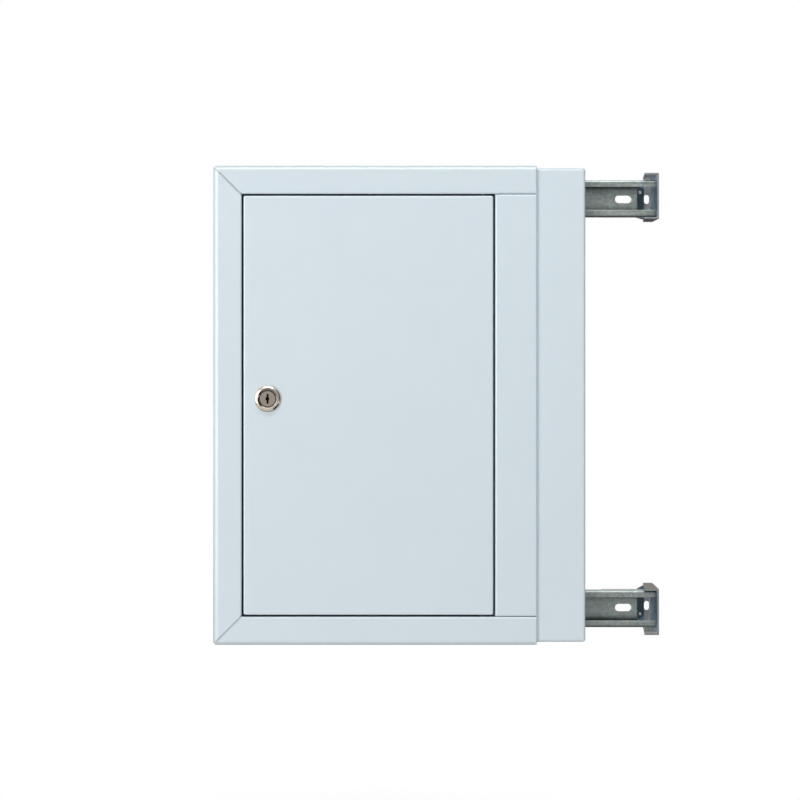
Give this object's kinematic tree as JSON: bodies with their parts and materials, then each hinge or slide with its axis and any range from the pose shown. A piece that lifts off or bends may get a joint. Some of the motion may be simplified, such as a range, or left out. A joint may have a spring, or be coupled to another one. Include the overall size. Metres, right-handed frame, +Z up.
{
  "type": "steel wall enclosure",
  "caption": "Flat wall enclosure with a folded steel frame, a flush hinged door with a cam lock, a sliding side extension and slotted C-rails that screw to the wall.",
  "frame": {"origin": "on the wall plane, behind the middle of the cover frame", "axes": "+X to the right as seen from the front, +Y into the wall, +Z up"},
  "size_m": [0.3765, 0.063, 0.4],
  "materials": {
    "white_paint": "white powder coat, satin, fine orange peel",
    "galvanised_steel": "rolled galvanised strip with faint lines along the rail",
    "bracket_steel": "pressed galvanised sheet, slightly warm grey",
    "zinc_plate": "bright zinc plate",
    "nickel_plate": "polished nickel plate with turning marks",
    "black_nylon": "black nylon",
    "black_foam": "closed-cell foam strip"
  },
  "bodies": {
    "cover": {"frame_left_stile": "white_paint", "frame_top_rail": "white_paint", "frame_bottom_rail": "white_paint", "frame_right_stile": "white_paint", "corner_cleat_top": "white_paint", "corner_cleat_bottom": "white_paint", "stile_cleat_top": "white_paint", "stile_cleat_bottom": "white_paint", "guide_strip_top": "white_paint", "guide_strip_bottom": "white_paint", "hanger_upper_left": "white_paint", "hanger_upper_right": "white_paint", "hanger_lower_left": "white_paint", "hanger_lower_right": "white_paint", "upper_rail": "galvanised_steel", "lower_rail": "galvanised_steel", "bracket_upper_right": "bracket_steel", "bracket_upper_left": "bracket_steel", "bracket_lower_right": "bracket_steel", "bracket_lower_left": "bracket_steel", "tab_screws": "zinc_plate", "hanger_screws": "zinc_plate", "sliding_nuts": "zinc_plate", "hinge_pin_top": "zinc_plate", "hinge_pin_bottom": "zinc_plate", "door_seal": "black_foam"},
    "extension": {"side_extension": "white_paint"},
    "door": {"door_leaf": "white_paint", "hinge_bush_top": "black_nylon", "hinge_bush_bottom": "black_nylon", "lock_housing": "nickel_plate", "lock_nut": "zinc_plate"},
    "lock": {"lock_plug": "nickel_plate", "lock_cam": "zinc_plate", "cam_screw": "zinc_plate"}
  },
  "joints": [
    {"name": "door_hinge", "type": "hinge", "parent": "cover", "child": "door", "pos_m": [0.0905, -0.055, 0], "axis": [0, 0, 1], "range_deg": [0, 110]},
    {"name": "lock_turn", "type": "hinge", "parent": "door", "child": "lock", "pos_m": [-0.0891, -0.06, 0.0055], "axis": [0, 1, 0], "range_deg": [0, 90]},
    {"name": "extension_slide", "type": "slide", "parent": "cover", "child": "extension", "axis": [1, 0, 0], "range_m": [0, 0.02]}
  ]
}
